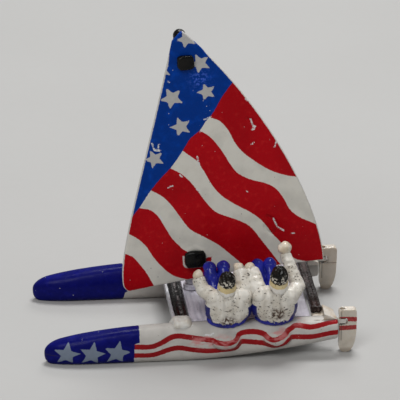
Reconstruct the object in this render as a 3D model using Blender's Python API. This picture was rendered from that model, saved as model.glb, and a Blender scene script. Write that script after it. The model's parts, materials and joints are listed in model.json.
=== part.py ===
"""Pocket toy catamaran with a two-man crew: the solid parts.

Frame: metres, +Z up, bow towards -X, port towards -Y.  The origin is on the floor under the
middle of the boat, which rests on both keels and on the tips of its two rudders.
All sizes below are in millimetres and are turned into metres by the mesh helpers.
"""
import math

import bmesh
import bpy
from mathutils import Matrix, Vector

MM = 0.001

# ---- driving dimensions (mm) -------------------------------------------------------------
BOW_X = -27.0            # tip of both bows
TRANSOM_X = 23.6         # flat stern of both hulls
HULL_Y = 12.3            # each hull's centre line, left and right of the middle
HULL_HALF_WIDTH = 2.3
NOSE_LENGTH = 8.0        # the plan outline is a half ellipse over this length
NOSE_TOP = 3.0           # length over which the deck drops to the tip
NOSE_FOOT = 2.0          # length over which the keel rises to the tip
KNUCKLE_Z = 1.9          # height of the widest line, where the mould halves meet
KEEL_FLAT_END = -3.0     # aft of here the keel rises
KEEL_RISE = 3.1          # rise of the keel at the transom
DECK_Z = 6.45            # top of the crowned deck amidships
DECK_DROP = 2.6          # how much lower the deck is near the bow
DECK_SLOPE = 0.003
KEEL_POWER = 1.6
DECK_POWER = 2.4
NOSE_POWER = 2.4
KNUCKLE_LIFT = 0.85      # share of the keel's rise that the knuckle follows
KEEL_SUNK = 0.35         # how far the section's lower half is cut off flat
STERN_TAPER = 0.12       # share of its width that the hull loses at the transom
STERN_TAPER_X = 10.0
CROWN_FULLNESS = 2.5     # superellipse powers of the section above and below the knuckle
BILGE_FULLNESS = 2.2
FIT = 0.04               # gap left between touching pieces
TURN_FIT = 0.08          # gap round a turning pin or mast foot

LEAN = math.radians(3.3)  # the mast leans towards the bow
MAST_X = -0.1
MAST_Y = 1.3
MAST_BASE_Z = 6.6
MAST_HEIGHT = 48.7
MAST_RADIUS = 1.1
FOOT_RADIUS = 0.7
FOOT_LENGTH = 0.95
SAIL_Y = -1.85           # middle of the sail plate, measured from the mast axis
SAIL_THICKNESS = 0.8
PEG_X = 0.65
PEG_HEIGHTS = (43.9, 6.7)
PEG_SHANK = 0.6
PEG_SIZES = ((2.8, 2.6), (3.6, 3.0))  # width and height of the two heads
PEG_ROUNDING = 0.35
CAP_RIM = 0.3            # straight part of the masthead cap under its dome
STEP_RADIUS = 1.45
PEG_PROUD = 1.0          # how far a peg head stands out of the sail

FRONT_BEAM_X = -3.05
FRONT_BEAM_WIDTH = 2.3
REAR_BEAM_X = 20.2
REAR_BEAM_WIDTH = 1.9
BEAM_HALF_LENGTH = 10.7
FRONT_BEAM_Z = (5.75, 6.95)
REAR_BEAM_Z = (6.6, 7.75)
EDGE_WIDTH = 0.55        # pale strip along the front of the front beam
EDGE_OVERHANG = 0.5
FRONT_BEAM_ROUNDING = 0.4
REAR_BEAM_ROUNDING = 0.3
EDGE_ROUNDING = 0.15
NET_ROUNDING = 0.12
SADDLE_ROUNDING = 0.42
SADDLE_OUTREACH = 0.9    # how far a saddle passes the hull's centre line
SADDLE_FOOT_Z = (5.7, 6.0)  # undersides of the front and the rear saddles, inside the hulls
REAR_SADDLE_INREACH = 1.6
FAIRING_END = (23.4, 6.6)  # where the rear saddle's slope meets the deck
NET_X = (-1.75, 19.1)
NET_Z = (5.75, 6.45)
NET_HALF_WIDTH = 11.2

RUDDER_X = (23.85, 27.0)
RUDDER_HALF_THICKNESS = 0.75
RUDDER_TOP = 8.2
RUDDER_TIP_X = 25.1      # middle of the flat tip that rests on the floor
RUDDER_TIP_HALF = 0.3
RUDDER_FRONT_CURVE_Z = 1.8
RUDDER_BACK_CURVE_Z = 4.6
HEAD_CHAMFER = ((0.5, 0.0), (0.15, 0.15), (0.0, 0.5))  # steps of a corner, in and down
PIN_X = 24.5
PIN_RADIUS = 0.34
PIN_Z = (3.9, 7.6)
GUDGEON_Z = (5.5, 6.3)
GUDGEON_SIZE = (0.62, 0.6)  # reach behind the pin, half width
SLOT_FIT = 0.12          # gap above and below a gudgeon in its rudder's slot
SLOT_REACH = 0.75

POD_X = (4.2, 13.0)      # rounded swellings of the port hull under the crew
POD_RADII = (2.6, 1.8, 1.75)
POD_Z = (3.7, 4.0)
POD_INSET = 1.1          # middle of a swelling, inside the hull's widest line

COLOURS = {
    "white": ((0.57, 0.56, 0.52), 0.35), "black": ((0.012, 0.011, 0.011), 0.25),
    "sail": ((0.42, 0.012, 0.015), 0.3), "net": ((0.40, 0.37, 0.38), 0.6),
    "clear": ((0.50, 0.49, 0.43), 0.25), "blue": ((0.015, 0.025, 0.36), 0.3),
    "jacket": ((0.60, 0.58, 0.53), 0.4), "skin": ((0.66, 0.55, 0.30), 0.4),
}


# ---- helpers -----------------------------------------------------------------------------
def material(kind):
    """One Principled material for each kind of plastic or paint."""
    found = bpy.data.materials.get(kind)
    if found:
        return found
    made = bpy.data.materials.new(kind)
    made.use_nodes = True
    shader = made.node_tree.nodes["Principled BSDF"]
    shader.inputs["Base Color"].default_value = (*COLOURS[kind][0], 1.0)
    shader.inputs["Roughness"].default_value = COLOURS[kind][1]
    return made


def place(name, bm, kind, parent=None):
    """Turn a bmesh in millimetres into a named object."""
    bmesh.ops.scale(bm, vec=(MM, MM, MM), verts=bm.verts)
    bmesh.ops.recalc_face_normals(bm, faces=bm.faces)
    mesh = bpy.data.meshes.new(name)
    bm.to_mesh(mesh)
    bm.free()
    mesh.shade_smooth()
    mesh.set_sharp_from_angle(angle=math.radians(35))
    obj = bpy.data.objects.new(name, mesh)
    obj.data.materials.append(material(kind))
    bpy.context.scene.collection.objects.link(obj)
    obj.parent = parent
    return obj


def combine(obj, others, operation):
    """Union with, or cut by, other objects of the same frame; the others are used up."""
    for other in others:
        step = obj.modifiers.new(operation, "BOOLEAN")
        step.operation = operation
        step.object = other
        step.solver = "EXACT"
        bpy.context.view_layer.update()
        graph = bpy.context.evaluated_depsgraph_get()
        result = bpy.data.meshes.new_from_object(obj.evaluated_get(graph))
        obj.modifiers.clear()
        obj.data = result
    for other in others:
        bpy.data.objects.remove(other)
    tidy = bmesh.new()
    tidy.from_mesh(obj.data)
    bmesh.ops.remove_doubles(tidy, verts=tidy.verts, dist=0.002 * MM)
    bmesh.ops.dissolve_degenerate(tidy, edges=tidy.edges, dist=0.002 * MM)
    tidy.to_mesh(obj.data)
    tidy.free()
    return obj


def extrude_outline(points, low, high):
    """A closed prism: the outline lies in the XZ plane and is pulled along Y from low to high."""
    bm = bmesh.new()
    face = bm.faces.new([bm.verts.new((x, low, z)) for x, z in points])
    pulled = bmesh.ops.extrude_face_region(bm, geom=[face])
    moved = [part for part in pulled["geom"] if isinstance(part, bmesh.types.BMVert)]
    bmesh.ops.translate(bm, vec=(0.0, high - low, 0.0), verts=moved)
    return bm


def block(x, y, z, round_edges=0.0):
    """A box from its three ranges, with rounded edges."""
    bm = bmesh.new()
    bmesh.ops.create_cube(bm, size=1.0)
    bmesh.ops.scale(bm, vec=(x[1] - x[0], y[1] - y[0], z[1] - z[0]), verts=bm.verts)
    bmesh.ops.translate(bm, vec=((x[0] + x[1]) / 2, (y[0] + y[1]) / 2, (z[0] + z[1]) / 2), verts=bm.verts)
    if round_edges:
        bmesh.ops.bevel(bm, geom=bm.edges[:], offset=round_edges, segments=3, profile=0.5, affect="EDGES")
    return bm


def turned(profile, centre=(0.0, 0.0), sides=24):
    """A solid of revolution about a vertical axis; the profile runs from bottom to top."""
    bm = bmesh.new()
    rings = []
    for radius, z in profile:
        if radius == 0.0:
            rings.append([bm.verts.new((centre[0], centre[1], z))])
            continue
        turn = [2 * math.pi * i / sides for i in range(sides)]
        spots = [(centre[0] + radius * math.cos(a), centre[1] + radius * math.sin(a), z) for a in turn]
        rings.append([bm.verts.new(spot) for spot in spots])
    skin(bm, rings)
    return bm


def skin(bm, rings):
    """Join rings of vertices; a ring of one vertex is a pole, other ends get a cap."""
    for low, high in zip(rings, rings[1:]):
        count = max(len(low), len(high))
        for i in range(count):
            j = (i + 1) % count
            corners = [low[i % len(low)], low[j % len(low)], high[j % len(high)], high[i % len(high)]]
            bm.faces.new(list(dict.fromkeys(corners)))
    for end in (rings[0], rings[-1]):
        if len(end) > 1:
            bm.faces.new(end)


def ball(centre, radii):
    """An ellipsoid along the axes."""
    bm = bmesh.new()
    bmesh.ops.create_uvsphere(bm, u_segments=18, v_segments=12, radius=1.0)
    move = Matrix.Translation(centre) @ Matrix.Diagonal((*radii, 1.0))
    bmesh.ops.transform(bm, matrix=move, verts=bm.verts)
    return bm


def limb(start, end, start_radius, end_radius):
    """A tapered rod with round ends."""
    bm = bmesh.new()
    start, end = Vector(start), Vector(end)
    along = (end - start).normalized()
    side = along.orthogonal().normalized()
    other = along.cross(side)
    sides, bends = 14, 4
    rings = [[bm.verts.new(start - along * start_radius)]]
    for point, radius, sign in ((start, start_radius, -1.0), (end, end_radius, 1.0)):
        steps = range(1, bends + 1) if sign < 0 else range(bends, 0, -1)
        for step in steps:
            lift = math.cos(math.pi / 2 * step / bends) * radius * sign
            reach = math.sin(math.pi / 2 * step / bends) * radius
            turn = [2 * math.pi * i / sides for i in range(sides)]
            middle = point + along * lift
            around = [(side * math.cos(a) + other * math.sin(a)) * reach for a in turn]
            rings.append([bm.verts.new(middle + spoke) for spoke in around])
    rings.append([bm.verts.new(end + along * end_radius)])
    skin(bm, rings)
    return bm


def cutter(bm, parent=None):
    """A temporary object that a Boolean uses up."""
    return place("cutter", bm, "white", parent)


# ---- hulls -------------------------------------------------------------------------------
def nose(distance, length, power):
    """Rounding factor of the bow: 1 behind the nose, 0 at its tip."""
    if distance <= 0.0:
        return 1.0
    return max(0.0, 1.0 - (distance / length) ** power) ** (1.0 / power)


def keel_z(x):
    """Lowest line of the hull: flat on the floor, then rising towards the stern."""
    return KEEL_RISE * (max(0.0, x - KEEL_FLAT_END) / (TRANSOM_X - KEEL_FLAT_END)) ** KEEL_POWER


def deck_z(x):
    """Top line of the crowned deck."""
    if x >= 0.0:
        return DECK_Z + DECK_SLOPE * x
    return DECK_Z - DECK_DROP * (-x / -(BOW_X + 1.0)) ** DECK_POWER


def hull_section(x, side, grow, points=24):
    """Closed section of a hull at x: crowned above the knuckle, narrower and flat below it."""
    knuckle = KNUCKLE_Z + KNUCKLE_LIFT * keel_z(x)
    stern = max(0.0, (x - STERN_TAPER_X) / (TRANSOM_X - STERN_TAPER_X))
    half = HULL_HALF_WIDTH * nose(BOW_X + NOSE_LENGTH - x, NOSE_LENGTH, 2.0)
    half = half * (1.0 - STERN_TAPER * stern ** 2) + grow
    above = (deck_z(x) - knuckle) * nose(BOW_X + NOSE_TOP - x, NOSE_TOP, NOSE_POWER) + grow
    below = knuckle - keel_z(x) + KEEL_SUNK
    below = below * nose(BOW_X + NOSE_FOOT - x, NOSE_FOOT, NOSE_POWER) + grow
    outline = []
    for i in range(points):
        turn = 2 * math.pi * i / points
        power = 2.0 / (CROWN_FULLNESS if math.sin(turn) >= 0.0 else BILGE_FULLNESS)
        y = half * abs(math.cos(turn)) ** power * math.copysign(1.0, math.cos(turn))
        z = (above if math.sin(turn) >= 0.0 else below) * abs(math.sin(turn)) ** power
        z = knuckle + math.copysign(z, math.sin(turn))
        outline.append((x, side * HULL_Y + y, max(z, keel_z(x) - grow)))
    return outline


def hull_mesh(side, grow=0.0):
    """Loft of one hull from the bow tip to the flat transom."""
    bm = bmesh.new()
    nose_steps, body_steps = 9, 14
    turns = [math.pi / 2 * i / nose_steps for i in range(1, nose_steps)]
    stations = [BOW_X + NOSE_LENGTH * (1 - math.cos(turn)) for turn in turns]
    start = BOW_X + NOSE_LENGTH
    stations += [start + (TRANSOM_X - start) * i / body_steps for i in range(body_steps + 1)]
    rings = [[bm.verts.new((BOW_X - grow, side * HULL_Y, KNUCKLE_Z))]]
    rings += [[bm.verts.new(p) for p in hull_section(x, side, grow)] for x in stations]
    if grow:
        last = hull_section(TRANSOM_X, side, grow)
        rings.append([bm.verts.new((TRANSOM_X + grow, y, z)) for x, y, z in last])
    skin(bm, rings)
    return bm


def make_hulls():
    """The two hulls; the port one swells out under each member of the crew."""
    place("starboard_hull", hull_mesh(1), "white")
    y = POD_INSET - HULL_Y - HULL_HALF_WIDTH
    pods = [cutter(ball((x, y, z), POD_RADII)) for x, z in zip(POD_X, POD_Z)]
    combine(place("port_hull", hull_mesh(-1), "white"), pods, "UNION")


def hull_cutter(side):
    return cutter(hull_mesh(side, FIT))


# ---- platform ----------------------------------------------------------------------------
def make_platform():
    """Crossbeams, the pale strip on the front one, the deck between them and the saddles."""
    half = FRONT_BEAM_WIDTH / 2
    span = (-BEAM_HALF_LENGTH, BEAM_HALF_LENGTH)
    front = (FRONT_BEAM_X - half, FRONT_BEAM_X + half)
    beam = place("front_crossbeam", block(front, span, FRONT_BEAM_Z, FRONT_BEAM_ROUNDING), "black")
    combine(beam, [hull_cutter(side) for side in (-1, 1)], "DIFFERENCE")
    edge = (front[0] - FIT - EDGE_WIDTH, front[0] - FIT)
    long = (span[0] - EDGE_OVERHANG, span[1] + EDGE_OVERHANG)
    strip = block(edge, long, (FRONT_BEAM_Z[0], FRONT_BEAM_Z[1] - 0.1), EDGE_ROUNDING)
    strip = place("front_beam_edge", strip, "white")
    combine(strip, [hull_cutter(side) for side in (-1, 1)], "DIFFERENCE")
    rear_half = REAR_BEAM_WIDTH / 2
    rear = (REAR_BEAM_X - rear_half, REAR_BEAM_X + rear_half)
    place("rear_crossbeam", block(rear, span, REAR_BEAM_Z, REAR_BEAM_ROUNDING), "black")
    net = block(NET_X, (-NET_HALF_WIDTH, NET_HALF_WIDTH), NET_Z, NET_ROUNDING)
    net = place("trampoline_deck", net, "net")
    combine(net, [hull_cutter(side) for side in (-1, 1)], "DIFFERENCE")
    for side, word in ((-1, "port"), (1, "starboard")):
        make_saddles(side, word, front, rear)


def make_saddles(side, word, front, rear):
    """Pale lumps that carry the beam ends on the deck of one hull."""
    front_foot, rear_foot = SADDLE_FOOT_Z
    inner, outer = BEAM_HALF_LENGTH + FIT, HULL_Y + SADDLE_OUTREACH
    across = tuple(sorted((side * inner, side * outer)))
    long = (front[0] + 0.1, front[1] + 0.1)
    lump = block(long, across, (front_foot, FRONT_BEAM_Z[1] - 0.05), SADDLE_ROUNDING)
    combine(place(word + "_front_saddle", lump, "white"), [hull_cutter(side)], "DIFFERENCE")
    across = tuple(sorted((side * (BEAM_HALF_LENGTH - REAR_SADDLE_INREACH), side * outer)))
    start, end = rear[0] + 0.1, rear[1] + 0.1
    under = REAR_BEAM_Z[0] - FIT
    profile = [(start, rear_foot), (start, under), (end, under), (end, REAR_BEAM_Z[1] - 0.1)]
    profile += [FAIRING_END, (FAIRING_END[0], rear_foot)]
    leg = place(word + "_rear_saddle", extrude_outline(profile, *across), "white")
    combine(leg, [hull_cutter(side)], "DIFFERENCE")


# ---- rudders -----------------------------------------------------------------------------
def rudder_outline():
    """Side view of a rudder: square head, rounded blade tip set forward."""
    front, back = RUDDER_X
    toe, heel = RUDDER_TIP_X - RUDDER_TIP_HALF, RUDDER_TIP_X + RUDDER_TIP_HALF
    points = [(front + inward, RUDDER_TOP - down) for inward, down in HEAD_CHAMFER]
    low, steps = RUDDER_FRONT_CURVE_Z, 6
    for turn in [math.pi / 2 * step / steps for step in range(steps)]:
        points.append((toe - (toe - front) * math.cos(turn), low * (1 - math.sin(turn))))
    points += [(toe, 0.0), (heel, 0.0)]
    low, steps = RUDDER_BACK_CURVE_Z, 7
    for turn in [math.pi / 2 * step / steps for step in range(1, steps + 1)]:
        points.append((heel + (back - heel) * math.sin(turn), low * (1 - math.cos(turn))))
    return points + [(back - inward, RUDDER_TOP - down) for inward, down in reversed(HEAD_CHAMFER)]


def make_rudder(side, word):
    """A rudder on its pin, and the gudgeon on the transom that holds the pin."""
    centre = side * HULL_Y
    pivot = bpy.data.objects.new(word + "_rudder_pivot", None)
    pivot.location = Vector((PIN_X, centre, 0.0)) * MM
    bpy.context.scene.collection.objects.link(pivot)
    local = [(x - PIN_X, z) for x, z in rudder_outline()]
    blade = extrude_outline(local, -RUDDER_HALF_THICKNESS, RUDDER_HALF_THICKNESS)
    rudder = place(word + "_rudder", blade, "clear", pivot)
    bpy.context.view_layer.update()
    bore = PIN_RADIUS + TURN_FIT
    slot = (GUDGEON_Z[0] - SLOT_FIT, GUDGEON_Z[1] + SLOT_FIT)
    wide = 2 * RUDDER_HALF_THICKNESS
    room = block((-2.0, SLOT_REACH), (-wide, wide), slot)
    hole = turned([(bore, PIN_Z[0] - SLOT_FIT), (bore, RUDDER_TOP + 1.0)], sides=16)
    combine(rudder, [cutter(room, pivot), cutter(hole, pivot)], "DIFFERENCE")
    reach, half = GUDGEON_SIZE
    tab = block((TRANSOM_X + FIT, PIN_X + reach), (centre - half, centre + half), GUDGEON_Z, 0.1)
    tight = PIN_RADIUS + FIT
    hole = turned([(tight, PIN_Z[0]), (tight, PIN_Z[1])], (PIN_X, centre), 16)
    combine(place(word + "_gudgeon", tab, "white"), [cutter(hole)], "DIFFERENCE")
    pin = turned([(PIN_RADIUS, PIN_Z[0]), (PIN_RADIUS, PIN_Z[1])], (PIN_X, centre), 16)
    place(word + "_rudder_pin", pin, "black")


# ---- rig ---------------------------------------------------------------------------------
def bezier(a, b, c, d, steps):
    """Points of a cubic curve, without its last one."""
    points = []
    for i in range(steps):
        t = i / steps
        s = 1.0 - t
        weights = (s ** 3, 3 * s * s * t, 3 * s * t * t, t ** 3)
        points.append(tuple(sum(w * p[k] for w, p in zip(weights, (a, b, c, d))) for k in (0, 1)))
    return points


def sail_outline():
    """Outline of the one-piece sail in the mast's own frame: luff, foot, leech and head."""
    throat, tack, corner = (-1.47, 47.7), (-12.1, 2.95), (-10.9, 1.3)
    clew, peak, tip = (23.1, 4.05), (0.5, 49.3), (0.1, 49.3)
    luff = bezier(throat, (-7.25, 24.25), (-12.6, 9.0), tack, 10)
    foot = bezier(corner, (-2.0, 2.5), (10.0, 3.8), clew, 6)
    leech = bezier(clew, (23.0, 14.4), (14.3, 34.9), peak, 14)
    return luff + [tack] + foot + leech + [peak, tip]


def make_rig():
    """Mast, its cap, the sail and the two pegs that hold the sail, turning in the mast step."""
    foot = bpy.data.objects.new("rig_pivot", None)
    foot.location = Vector((MAST_X, MAST_Y, MAST_BASE_Z)) * MM
    foot.rotation_euler = (0.0, -LEAN, 0.0)
    bpy.context.scene.collection.objects.link(foot)
    bpy.context.view_layer.update()
    top = MAST_HEIGHT - MAST_RADIUS
    sole, shoulder = TURN_FIT, FOOT_LENGTH + TURN_FIT
    profile = [(FOOT_RADIUS, sole), (FOOT_RADIUS, shoulder)]
    profile += [(MAST_RADIUS, shoulder), (MAST_RADIUS, top - FIT)]
    place("mast", turned(profile), "black", foot)
    arc = [math.pi / 2 * i / 6 for i in range(1, 6)]
    brim = top + CAP_RIM
    dome = [(MAST_RADIUS * math.cos(a), brim + MAST_RADIUS * math.sin(a)) for a in arc]
    cap = [(MAST_RADIUS, top), (MAST_RADIUS, brim)] + dome + [(0.0, brim + MAST_RADIUS)]
    place("masthead_cap", turned(cap), "black", foot)
    low, high = SAIL_Y - SAIL_THICKNESS / 2, SAIL_Y + SAIL_THICKNESS / 2
    sail = place("sail", extrude_outline(sail_outline(), low, high), "sail", foot)
    for word, height, size in zip(("upper", "lower"), PEG_HEIGHTS, PEG_SIZES):
        shank = limb((PEG_X, low - 0.4, height), (PEG_X, 0.2, height), PEG_SHANK, PEG_SHANK)
        half_x, half_z = size[0] / 2, size[1] / 2
        head = block((PEG_X - half_x, PEG_X + half_x), (low - FIT - PEG_PROUD, low - FIT),
                     (height - half_z, height + half_z), PEG_ROUNDING)
        peg = place(word + "_sail_peg", head, "black", foot)
        combine(peg, [cutter(shank, foot)], "UNION")
        spindle = turned([(MAST_RADIUS + FIT, height - 3.0), (MAST_RADIUS + FIT, height + 3.0)])
        combine(peg, [cutter(spindle, foot)], "DIFFERENCE")
        bore = PEG_SHANK + FIT
        room = limb((PEG_X, low - 2.0, height), (PEG_X, high + 2.0, height), bore, bore)
        combine(sail, [cutter(room, foot)], "DIFFERENCE")


def make_mast_step():
    """Ring that stands on the deck around the foot of the mast."""
    inner, outer, low, high = FOOT_RADIUS + TURN_FIT, STEP_RADIUS, 0.0, FOOT_LENGTH
    profile = [(outer, low), (outer, high), (inner, high), (inner, low)]
    bm = bmesh.new()
    sides = 24
    rings = []
    for radius, z in profile:
        turn = [2 * math.pi * i / sides for i in range(sides)]
        rings.append([bm.verts.new((radius * math.cos(a), radius * math.sin(a), z)) for a in turn])
    for low_ring, high_ring in zip(rings, rings[1:] + rings[:1]):
        for i in range(sides):
            j = (i + 1) % sides
            bm.faces.new((low_ring[i], low_ring[j], high_ring[j], high_ring[i]))
    lean = Matrix.Translation((MAST_X, MAST_Y, MAST_BASE_Z)) @ Matrix.Rotation(-LEAN, 4, "Y")
    bmesh.ops.transform(bm, matrix=lean, verts=bm.verts)
    place("mast_step", bm, "net")


# ---- crew --------------------------------------------------------------------------------
CREW = {
    "forward": {
        "head": (4.35, -12.9, 14.5), "hair": (1.5, 1.5, 1.75), "torso": (4.45, -12.7, 9.15),
        "arms": (((2.5, -12.3, 11.0), (0.5, -11.0, 12.1), (-0.2, -9.9, 13.4)),
                 ((6.5, -12.3, 10.9), (7.3, -11.0, 12.7), (6.9, -9.4, 14.1))),
        "hands": ((-0.35, -9.5, 14.2, 0.95), (6.75, -8.9, 15.0, 0.95)),
        "knees": ((2.2, -5.3, 13.5), (4.6, -5.3, 13.6)), "feet": ((2.4, -3.6, 7.5), (4.6, -3.6, 7.5)),
    },
    "aft": {
        "head": (13.3, -12.9, 15.0), "hair": (1.6, 1.6, 2.0), "torso": (12.75, -12.7, 9.3),
        "arms": (((10.8, -12.3, 11.1), (9.45, -11.0, 12.7), (8.95, -9.2, 14.0)),
                 ((15.3, -12.3, 10.9), (16.8, -10.5, 12.1), (15.1, -7.9, 16.3))),
        "hands": ((8.75, -8.7, 14.8, 0.95), (14.9, -7.2, 17.6, 1.2)),
        "knees": ((10.5, -5.3, 13.7), (12.6, -5.3, 13.8)), "feet": ((10.8, -3.6, 7.5), (12.8, -3.6, 7.5)),
    },
}
TORSO_RADII = (3.75, 2.25, 3.8)
SHOULDER_HALF_SPAN = 1.9
SHOULDER_RISE = 1.95         # shoulder line above the middle of the torso
SHOULDER_RADIUS = 1.6
ARM_RADII = (1.35, 1.03, 0.93)  # at shoulder, elbow and wrist
SEAT_RADII = (3.6, 2.2, 2.05)
SEAT_OFFSET = (0.45, -1.95)  # of the seat from the torso, across the boat and up
SKULL_RADII = (1.3, 1.3, 1.45)
NECK_RADII = (1.6, 1.7)      # foot and top of the collar
LEG_RADIUS = 1.0


def trousers_shapes(pose, grow):
    """Seat, thighs and shins of one figure, as separate overlapping shapes."""
    x, y, z = pose["torso"]
    across, rise = SEAT_OFFSET
    shapes = [ball((x, y + across, z + rise), [r + grow for r in SEAT_RADII])]
    for knee, heel in zip(pose["knees"], pose["feet"]):
        hip = (x + 0.6 * (knee[0] - x), y + 1.0, z - 1.6)
        shapes.append(limb(hip, knee, LEG_RADIUS + 0.1 + grow, LEG_RADIUS + grow))
        below = (knee[0], knee[1] + 0.2, knee[2] - 0.5)
        shapes.append(limb(below, heel, LEG_RADIUS - 0.07 + grow, LEG_RADIUS - 0.15 + grow))
    return shapes


def head_shapes(pose, grow):
    """Skull and neck."""
    x, y, z = pose["head"]
    skull = ball((x, y + 0.55, z - 0.35), [r + grow for r in SKULL_RADII])
    neck = limb((x, y + 0.35, z - 2.6), (x, y + 0.45, z - 1.35), *[r + grow for r in NECK_RADII])
    return [skull, neck]


def hair_shape(pose, grow):
    return ball(pose["head"], [r + grow for r in pose["hair"]])


def hand_shapes(pose, grow):
    return [ball((x, y, z), [radius + grow] * 3) for x, y, z, radius in pose["hands"]]


def arm_shapes(pose):
    """Shoulder yoke, upper arms and forearms."""
    x, y, z = pose["torso"]
    yoke = [(x + sign * SHOULDER_HALF_SPAN, y + 0.2, z + SHOULDER_RISE) for sign in (-1, 1)]
    shapes = [limb(*yoke, SHOULDER_RADIUS, SHOULDER_RADIUS)]
    for joints in pose["arms"]:
        for i in (0, 1):
            shapes.append(limb(joints[i], joints[i + 1], ARM_RADII[i], ARM_RADII[i + 1]))
    return shapes


def seat_room():
    """The port hull and the deck between the hulls, which the figures stay above."""
    deck = block((NET_X[0] - 1, NET_X[1] + 1), (-NET_HALF_WIDTH, 0.0), (0.0, NET_Z[1] + FIT))
    return [hull_cutter(-1), cutter(deck)]


def make_sailor(word, pose):
    """One moulded figure: trousers, jacket with both arms, hands, head and hair."""
    name = word + "_sailor_"
    seat, *legs = trousers_shapes(pose, 0.0)
    trousers = place(name + "trousers", seat, "blue")
    combine(trousers, [cutter(leg) for leg in legs], "UNION")
    combine(trousers, seat_room(), "DIFFERENCE")
    skull, neck = head_shapes(pose, 0.0)
    head = place(name + "head", skull, "skin")
    combine(head, [cutter(neck)], "UNION")
    hair = place(name + "hair", hair_shape(pose, 0.0), "black")
    combine(hair, [cutter(shape) for shape in head_shapes(pose, FIT)], "DIFFERENCE")
    for side, hand in zip(("left", "right"), hand_shapes(pose, 0.0)):
        place(name + side + "_hand", hand, "skin")
    jacket = place(name + "jacket", ball(pose["torso"], TORSO_RADII), "jacket")
    combine(jacket, [cutter(arm) for arm in arm_shapes(pose)], "UNION")
    room = hand_shapes(pose, FIT) + head_shapes(pose, FIT) + [hair_shape(pose, FIT)]
    room += trousers_shapes(pose, FIT)
    combine(jacket, [cutter(shape) for shape in room] + seat_room(), "DIFFERENCE")


# ---- build -------------------------------------------------------------------------------
def main():
    for old in list(bpy.data.objects):
        bpy.data.objects.remove(old)
    make_hulls()
    make_platform()
    make_mast_step()
    make_rig()
    for side, word in ((-1, "port"), (1, "starboard")):
        make_rudder(side, word)
    for word, pose in CREW.items():
        make_sailor(word, pose)


main()
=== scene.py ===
import json
import math

import bmesh
import bpy
import numpy as np
from mathutils import Matrix, Vector
from mathutils.geometry import delaunay_2d_cdt

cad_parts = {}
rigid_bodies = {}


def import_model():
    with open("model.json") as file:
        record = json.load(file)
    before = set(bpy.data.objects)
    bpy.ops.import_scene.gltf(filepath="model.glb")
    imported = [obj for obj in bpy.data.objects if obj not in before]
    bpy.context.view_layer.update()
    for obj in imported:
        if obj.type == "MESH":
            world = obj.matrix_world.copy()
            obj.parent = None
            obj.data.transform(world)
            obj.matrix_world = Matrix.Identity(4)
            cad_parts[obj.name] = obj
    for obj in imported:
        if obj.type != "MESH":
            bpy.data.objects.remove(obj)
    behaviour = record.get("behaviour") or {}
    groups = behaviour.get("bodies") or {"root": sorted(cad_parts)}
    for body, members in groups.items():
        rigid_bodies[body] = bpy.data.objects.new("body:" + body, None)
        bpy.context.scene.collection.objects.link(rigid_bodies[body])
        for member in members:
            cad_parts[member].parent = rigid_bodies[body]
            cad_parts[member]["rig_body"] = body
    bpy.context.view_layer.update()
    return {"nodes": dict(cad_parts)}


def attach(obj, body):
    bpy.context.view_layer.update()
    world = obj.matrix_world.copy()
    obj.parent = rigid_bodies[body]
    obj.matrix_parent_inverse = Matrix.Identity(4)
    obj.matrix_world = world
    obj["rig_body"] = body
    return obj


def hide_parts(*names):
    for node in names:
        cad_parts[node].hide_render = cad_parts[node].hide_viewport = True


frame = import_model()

MM = 0.001

# ------------------------ flat shapes and distances


def lattice_noise(points, scale, seed):
    """Smooth noise from -1 to 1 at each point; the same on every run."""
    size = 16
    shift = 100.0
    table = np.random.RandomState(seed).rand(size, size, size) * 2 - 1
    place = points * scale + shift
    cell = np.floor(place).astype(int)
    part = place - cell
    part = part * part * (3 - 2 * part)
    total = np.zeros(len(points))
    for corner in np.ndindex(2, 2, 2):
        weight = np.ones(len(points))
        for axis in range(3):
            weight = weight * (part[:, axis] if corner[axis] else 1 - part[:, axis])
        i, j, k = ((cell[:, axis] + corner[axis]) % size for axis in range(3))
        total += weight * table[i, j, k]
    return total


def smooth(points, steps=6):
    """A smooth curve through the points."""
    p = np.array(points, float)
    p = np.vstack([2 * p[0] - p[1], p, 2 * p[-1] - p[-2]])
    out = []
    for i in range(1, len(p) - 2):
        a, b, c, d = p[i - 1], p[i], p[i + 1], p[i + 2]
        for t in np.arange(steps) / steps:
            out.append(0.5 * (2 * b + (c - a) * t + (2 * a - 5 * b + 4 * c - d) * t * t
                              + (3 * b - a - 3 * c + d) * t ** 3))
    out.append(p[-2])
    return np.array(out)


def line_distance(points, line):
    """Distance from each point to an open line."""
    best = np.full(len(points), 1e9)
    for a, b in zip(line[:-1], line[1:]):
        d = b - a
        t = np.clip(((points - a) @ d) / max(d @ d, 1e-12), 0, 1)
        best = np.minimum(best, np.hypot(*(points - a - t[:, None] * d).T))
    return best


def region(points, outline):
    """Distance to the outline, above zero inside it."""
    outline = np.array(outline, float)
    x, y = points.T
    inside = np.zeros(len(points), bool)
    for (x1, y1), (x2, y2) in zip(outline, np.roll(outline, -1, 0)):
        if y1 != y2:
            inside ^= ((y1 > y) != (y2 > y)) & (x < (x2 - x1) * (y - y1) / (y2 - y1) + x1)
    distance = line_distance(points, np.vstack([outline, outline[:1]]))
    return np.where(inside, distance, -distance)


def star_from_tips(tips):
    """A five-pointed star through its five tips."""
    waist = 0.44
    tips = np.array(tips, float)
    centre = tips.mean(0)
    radius = np.hypot(*(tips - centre).T).mean()
    outline = []
    for tip, following in zip(tips, np.roll(tips, -1, 0)):
        between = (tip + following) / 2 - centre
        outline += [tip, centre + between / np.hypot(*between) * radius * waist]
    return outline


def star(x, z, radius, turn):
    """A regular five-pointed star; turn in degrees is one tip's direction."""
    angles = np.radians(turn + 72.0 * np.arange(5))
    return star_from_tips(np.stack([x + radius * np.cos(angles), z + radius * np.sin(angles)], 1))


# ------------------------ meshes


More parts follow.
